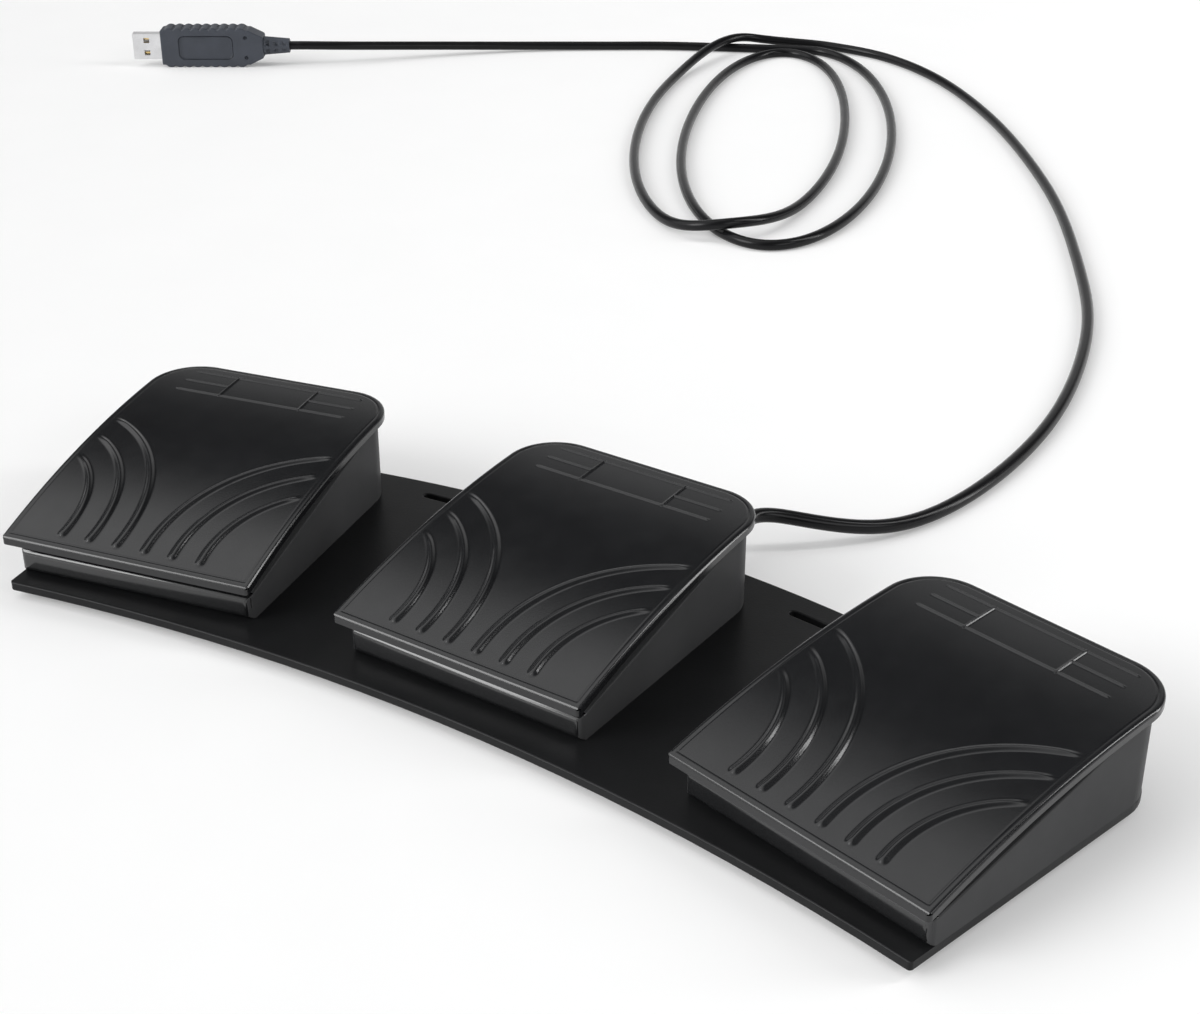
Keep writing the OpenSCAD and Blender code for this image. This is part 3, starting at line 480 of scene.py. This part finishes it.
def rimRelief(u, v, look):
    # a rounded edge, then a fine groove
    rim = rimDistance(u, v, look)
    edge = np.clip(1 - rim / look["rimRound"], 0, 1)
    relief = -look["rimDrop"] * (1 - np.sqrt(np.clip(1 - edge ** 2, 0, 1)))
    groove = np.clip(1 - np.abs(rim - look["grooveAt"]) / look["grooveHalf"], 0, 1)
    return relief - look["grooveDepth"] * easeInOut(groove)


def ribRelief(side, v, look):
    # soft arcs, broad and blunt at the front, thin and low towards the sides
    cu, cv = look["ribCentre"]
    away = np.hypot(side - cu, v - cv)
    turn = np.degrees(np.arctan2(v - cv, cu - side))
    broad, thin = look["ribHalf"]
    ribs = np.zeros_like(side)
    for radius in look["ribRadii"]:
        start = -math.degrees(math.asin((cv - look["ribFront"]) / radius))
        stop = math.degrees(math.acos((cu - look["ribEdge"]) / radius))
        along = np.clip((turn - start) / (stop - start), 0, 1)
        half = broad + (thin - broad) * along
        past = np.radians(np.maximum(start - turn, 0)) * radius
        inside = np.clip(1 - ((away - radius) ** 2 + past ** 2) / half ** 2, 0, 1)
        tail = np.clip(np.radians(stop - turn) * radius / look["ribFade"], 0, 1)
        height = look["ribHeight"] * (1 - look["ribLoss"] * along) * easeInOut(tail)
        ribs = np.maximum(ribs, height * inside ** 2)
    return ribs


def lineProfile(distance, look):
    return look["lineHeight"] * np.clip(1 - (distance / look["lineHalf"]) ** 2, 0, 1) ** 2


def lineRelief(side, v, look):
    # fine lines round the bare panel and out to the sides
    back, front = look["panelBack"], look["panelBack"] - look["panelDepth"]
    lines = np.zeros_like(side)
    for level, inner in ((front, 0), (back, 0), ((back + front) / 2, look["panelHalf"])):
        on = (side <= look["lineEnd"]) & (side >= inner)
        lines = np.maximum(lines, np.where(on, lineProfile(v - level, look), 0))
    upright = (v >= front - look["lineHalf"]) & (v <= back + look["lineHalf"])
    return np.maximum(lines, np.where(upright, lineProfile(side - look["panelHalf"], look), 0))


def treadTop(look):
    half, depth = look["width"] / 2, look["depth"]
    straight = look["straightShare"] * half
    columnMarks = [(k * half, reach) for k in (-1, 1) for reach in look["edgeReach"]]
    columnMarks += [(k * look["panelHalf"], look["lineHalf"]) for k in (-1, 1)]
    rowMarks = [(edge, reach) for edge in (0, depth) for reach in look["edgeReach"]]
    rowMarks += [(look["panelBack"] - look["panelDepth"] * k / 2, look["lineHalf"]) for k in range(3)]
    columns = gradedSteps(-half, half, columnMarks, look)
    rows = gradedSteps(0, depth, rowMarks, look)
    s, v = np.meshgrid(columns, rows)
    outer = np.clip((np.abs(s) - straight) / (half - straight), 0, 1)
    u = np.sign(s) * (np.minimum(np.abs(s), straight) + outer * (treadHalfWidth(v, look) - straight))
    side = np.abs(u)
    relief = rimRelief(u, v, look) + np.maximum(ribRelief(side, v, look), lineRelief(side, v, look))
    arch = look["archRadius"] + relief
    z = look["backLevel"] - look["archRadius"] + np.sqrt(arch ** 2 - (depth - v) ** 2)
    return u, v, z


def dropLoose(mesh):
    work = bmesh.new()
    work.from_mesh(mesh)
    loose = [q for q in work.verts if not q.link_faces]
    bmesh.ops.delete(work, geom=loose, context="VERTS")
    work.to_mesh(mesh)
    work.free()


def addTread(name, look):
    side = pedals[name]
    u, v, z = treadTop(look)
    verts = toWhole(u, v, z, side, look).reshape(-1, 3)
    corner = np.arange(u.size).reshape(u.shape)
    around = [corner[:-1, :-1], corner[:-1, 1:], corner[1:, 1:], corner[1:, :-1]]
    quads = np.stack(around, axis=-1).reshape(-1, 4)
    # the solid's own underside, skirt and knuckles go below the relief
    solid = nodes["tread_" + name].data
    spots = np.array([q.co for q in solid.vertices], float)
    depthOf = toPedal(spots[:, 0], spots[:, 1], side, look)[1]
    rise = spots[:, 2] - (look["backLevel"] - look["archRadius"])
    onTop = np.hypot(look["depth"] - depthOf, rise) > look["archRadius"] - look["rimDrop"] - look["topGap"]
    below = [[i + len(verts) for i in face.vertices] for face in solid.polygons
             if not all(onTop[i] for i in face.vertices)]
    piece = addMesh("tread" + name.capitalize(), np.vstack([verts, spots]), quads.tolist() + below)
    dropLoose(piece.data)
    piece.data.set_sharp_from_angle(angle=math.radians(look["sharpTurn"]))
    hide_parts("tread_" + name)
    dress(piece, "tread_plastic", "tread_" + name)


for name in pedals:
    addTread(name, treadSet)
print("treads made")


# housings, base and gland: the solids with rounded edges
edgeSet = {
    "housing": 0.35 * mm, "base": 0.5 * mm, "gland": 0.25 * mm,  # widths of the rounds
    "segments": 2, "baseSegments": 3,
    "sharpTurn": 32, "flatTurn": 0.4, "weld": 0.002 * mm,
    "seamReach": 0.1 * mm, "baseEnd": 33.5 * mm,
    "lipReach": 6.5 * mm, "lipFacing": 0.5,
}
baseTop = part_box("base_plate")[1][2]


def softenEdges(node, name, width, segments=edgeSet["segments"], keep=None):
    # a copy of a solid with small rounds on its sharp edges, apart from those that keep picks
    mesh = nodes[node].data.copy()
    mesh.name = name
    sharpTurn = math.radians(edgeSet["sharpTurn"])
    flatTurn = math.radians(edgeSet["flatTurn"])
    work = bmesh.new()
    work.from_mesh(mesh)
    bmesh.ops.remove_doubles(work, verts=work.verts, dist=edgeSet["weld"])
    bmesh.ops.dissolve_limit(work, angle_limit=flatTurn, verts=work.verts, edges=work.edges)
    weight = work.edges.layers.float.new("bevel_weight_edge")
    for edge in work.edges:
        sharp = len(edge.link_faces) == 2 and edge.calc_face_angle(0) > sharpTurn
        ends = [corner.co for corner in edge.verts]
        edge[weight] = 1.0 if sharp and not (keep and keep(ends)) else 0.0
    work.to_mesh(mesh)
    work.free()
    mesh.materials.clear()
    smoothFaces(mesh)
    mesh.set_sharp_from_angle(angle=sharpTurn)
    piece = addObject(name, mesh)
    bevel = piece.modifiers.new("edgeRound", "BEVEL")
    bevel.width = width
    bevel.segments = segments
    bevel.limit_method = "WEIGHT"
    bevel.use_clamp_overlap = False
    bevel.harden_normals = True
    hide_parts(node)
    return piece


def onSeam(ends):
    # the wall's foot and the top of the base's end read as one surface
    return all(abs(q[2] - baseTop) < edgeSet["seamReach"] for q in ends)


def onBaseEnd(ends):
    across = [toPedal(abs(q[0]), q[1], pedals["right"], treadSet)[0] for q in ends]
    return onSeam(ends) and all(u > edgeSet["baseEnd"] for u in across)


def glossAndShadeLip(piece, side):
    # the bar along the front, without the ends of the side walls, gets the glossier copy of the plastic
    # that is darker as painted shade
    turn = math.radians(side * treadSet["pitch"])
    across = Vector((math.cos(turn), -math.sin(turn), 0))
    piece.data.materials.append(finishes["lipPaintedShadePlastic"])
    for face in piece.data.polygons:
        depthOf = toPedal(face.center.x, face.center.y, side, treadSet)[1]
        if depthOf < edgeSet["lipReach"] and abs(face.normal.dot(across)) < edgeSet["lipFacing"]:
            face.material_index = 1


for name in pedals:
    housing = softenEdges("housing_" + name, "housing" + name.capitalize(), edgeSet["housing"], keep=onSeam)
    dress(housing, "housing_plastic", "base")
    glossAndShadeLip(housing, pedals[name])
basePlate = softenEdges("base_plate", "basePlate", edgeSet["base"], edgeSet["baseSegments"], onBaseEnd)
dress(basePlate, "base_steel", "base")
gland = softenEdges("cord_gland", "cordGland", edgeSet["gland"])
dress(gland, "rubber", "base")
print("housings and base made")


# return springs: round wire, squeezed between the housing's floor and the tread
springSet = {
    "wire": 0.5 * mm, "radius": 4.5 * mm, "turns": 5, "steps": 24, "sides": 8,
    "flatEnd": 0.12,  # share of the coil that lies flat at each end, as in the solid
}


def springRise(share, look):
    end = look["flatEnd"]
    return min(max((share - end) / (1 - 2 * end), 0), 1)


def addSpring(name, look):
    low, high = [Vector(corner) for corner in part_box("spring_" + name)]
    middle = (low + high) / 2
    wire, sides = look["wire"], look["sides"]
    tall = high.z - low.z - 2 * wire
    first = -math.radians(pedals[name] * treadSet["pitch"])
    count = look["turns"] * look["steps"]
    verts = []
    for i in range(count + 1):
        turn = first + 2 * math.pi * i / look["steps"]
        out = Vector((math.cos(turn), math.sin(turn), 0))
        level = low.z + wire + tall * springRise(i / count, look)
        spot = Vector((middle.x, middle.y, level)) + look["radius"] * out
        for k in range(sides):
            around = 2 * math.pi * k / sides
            verts.append(spot + wire * (math.cos(around) * out + Vector((0, 0, math.sin(around)))))
    faces = [list(range(sides)), list(range(count * sides, (count + 1) * sides))[::-1]]
    for i in range(count):
        for k in range(sides):
            a, b = i * sides + k, i * sides + (k + 1) % sides
            faces.append([a, a + sides, b + sides, b])
    piece = addMesh("spring" + name.capitalize(), verts, faces)
    setFinish(piece, slotFinish["steel"])
    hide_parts("spring_" + name)
    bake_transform(piece)


for name in pedals:
    addSpring(name, springSet)
print("springs made")


# plug
plugSet = {  # node, width of the rounds, slot
    "plugGrip": ("plug_grip", 0.6 * mm, "plug_plastic"),
    "plugRelief": ("plug_relief", 0.2 * mm, "plug_plastic"),
    "plugShell": ("usb_shell", 0.15 * mm, "plug_shell"),
}
plugPieces = []
for name, (node, width, slot) in plugSet.items():
    piece = softenEdges(node, name, width)
    dress(piece, slot, "base")
    plugPieces.append(piece)
plugPieces += [nodes["usb_tongue"], nodes["usb_contacts"]]
print("plug made")


# floor and light
stageSet = {
    "floorSize": 8.0, "floorColour": 0.96, "floorRough": 0.6, "floorSpecular": 0.1,
    "ownLight": 0.2,  # share of plain white in the floor
    "paperScale": 30, "paperNoise": (3.0, 0.5), "paperSpan": (0.3, 0.7), "paperShade": 0.985,
    "aim": (-0.02, 0.03, 0.01),
    "slantSpan": (-1.4, 1.4),  # height less depth of a direction, from the low back to the high front
    "dome": [  # share of that span, and level
        (0.0, 0.25), (0.25, 0.55), (0.34, 0.66), (0.385, 0.54), (0.43, 0.46), (0.46, 0.18), (0.505, 0.03),
        (0.61, 0.03), (0.645, 0.7), (0.68, 1.4), (1.0, 1.2),
    ],
    "domeSides": [(0.43, 1.0), (0.59, 0.12)],  # from the pale left side to the dark right one
    "whiteBand": (0.1, 0.22),  # height of the direction, from all white to none
    "keyWay": (-0.5, -0.74, 0.45), "keySpread": 34.0, "keyLevel": 6.0,
    "lamps": [  # name, direction from the pedals, distance, width and height, level
        ("rimBox", (0.62, 0.56, 0.50), 2.2, (0.34, 2.3), 9.0),
        ("sideBox", (0.86, -0.15, 0.48), 2.2, (1.5, 0.68), 2.8),
    ],
}


def addFloor(look):
    half = look["floorSize"] / 2
    corners = [(-half, -half, 0), (half, -half, 0), (half, half, 0), (-half, half, 0)]
    floor = addMesh("floor", corners, [(0, 1, 2, 3)])
    finish, tree, shader, coords = newFinish("paperFloor")
    paper = addNoise(tree, coords, look["paperScale"], *look["paperNoise"])
    shades = [grey(look["floorColour"] * look["paperShade"]), grey(look["floorColour"])]
    colour = addRamp(tree, paper, list(zip(look["paperSpan"], shades)))
    tree.links.new(colour, shader.inputs["Base Color"])
    shader.inputs["Roughness"].default_value = look["floorRough"]
    shader.inputs["Specular IOR Level"].default_value = look["floorSpecular"]
    glow = tree.nodes.new("ShaderNodeEmission")
    rays = tree.nodes.new("ShaderNodeLightPath")
    seen = addMath(tree, "MAXIMUM", rays.outputs["Is Camera Ray"], rays.outputs["Is Glossy Ray"])
    seen = addMath(tree, "MAXIMUM", seen, rays.outputs["Is Transmission Ray"])
    share = addMath(tree, "MULTIPLY", seen, look["ownLight"])
    mixed = addMix(tree, share, shader.outputs["BSDF"], glow.outputs["Emission"])
    tree.links.new(mixed, tree.nodes["Material Output"].inputs["Surface"])
    floor.data.materials.append(finish)


def addLamps(look):
    aim = Vector(look["aim"])
    for name, way, distance, size, level in look["lamps"]:
        lamp = bpy.data.lights.new(name, "AREA")
        lamp.shape = "RECTANGLE"
        lamp.size, lamp.size_y = size
        lamp.energy = level * math.pi * size[0] * size[1]  # level 1 looks as bright as white paper
        holder = addObject(name, lamp)
        holder.location = aim + distance * Vector(way).normalized()
        holder.rotation_euler = (aim - holder.location).to_track_quat("-Z", "Y").to_euler()


def addKey(look):
    key = bpy.data.lights.new("keyLight", "SUN")
    key.angle = math.radians(look["keySpread"])
    key.energy = look["keyLevel"] * math.pi * math.sin(key.angle / 2) ** 2
    holder = addObject("keyLight", key)
    holder.rotation_euler = Vector(look["keyWay"]).to_track_quat("Z", "Y").to_euler()


def addWorld(look):
    # a studio dome: a pale wall low at the back, a dark band, a soft light over the front
    world = bpy.data.worlds.new("studio")
    world.use_nodes = True
    tree = world.node_tree
    way = tree.nodes.new("ShaderNodeTexCoord")
    split = tree.nodes.new("ShaderNodeSeparateXYZ")
    tree.links.new(way.outputs["Generated"], split.inputs["Vector"])
    x, y, z = [split.outputs[axis] for axis in "XYZ"]
    slant = addRange(tree, addMath(tree, "SUBTRACT", z, y), look["slantSpan"], (0, 1))
    dome = addRamp(tree, slant, [(at, grey(level)) for at, level in look["dome"]])
    across = addRange(tree, x, (-1, 1), (0, 1))
    sides = addRamp(tree, across, [(at, grey(level)) for at, level in look["domeSides"]])
    both = tree.nodes.new("ShaderNodeVectorMath")
    both.operation = "MULTIPLY"
    tree.links.new(dome, both.inputs[0])
    tree.links.new(sides, both.inputs[1])
    studio = tree.nodes["Background"]
    tree.links.new(both.outputs["Vector"], studio.inputs["Color"])
    # plain white past the floor, which mirrors low over the floor show too
    white = tree.nodes.new("ShaderNodeBackground")
    white.inputs["Color"].default_value = (1, 1, 1, 1)
    rays = tree.nodes.new("ShaderNodeLightPath")
    band = addRange(tree, z, look["whiteBand"], (1, 0))
    mirrored = addMath(tree, "MAXIMUM", rays.outputs["Is Glossy Ray"], rays.outputs["Is Transmission Ray"])
    mirrored = addMath(tree, "MULTIPLY", mirrored, band)
    seen = addMath(tree, "MAXIMUM", rays.outputs["Is Camera Ray"], mirrored)
    mixed = addMix(tree, seen, studio.outputs["Background"], white.outputs["Background"])
    tree.links.new(mixed, tree.nodes["World Output"].inputs["Surface"])
    scene.world = world


addFloor(stageSet)
addLamps(stageSet)
addKey(stageSet)
addWorld(stageSet)
print("stage set")
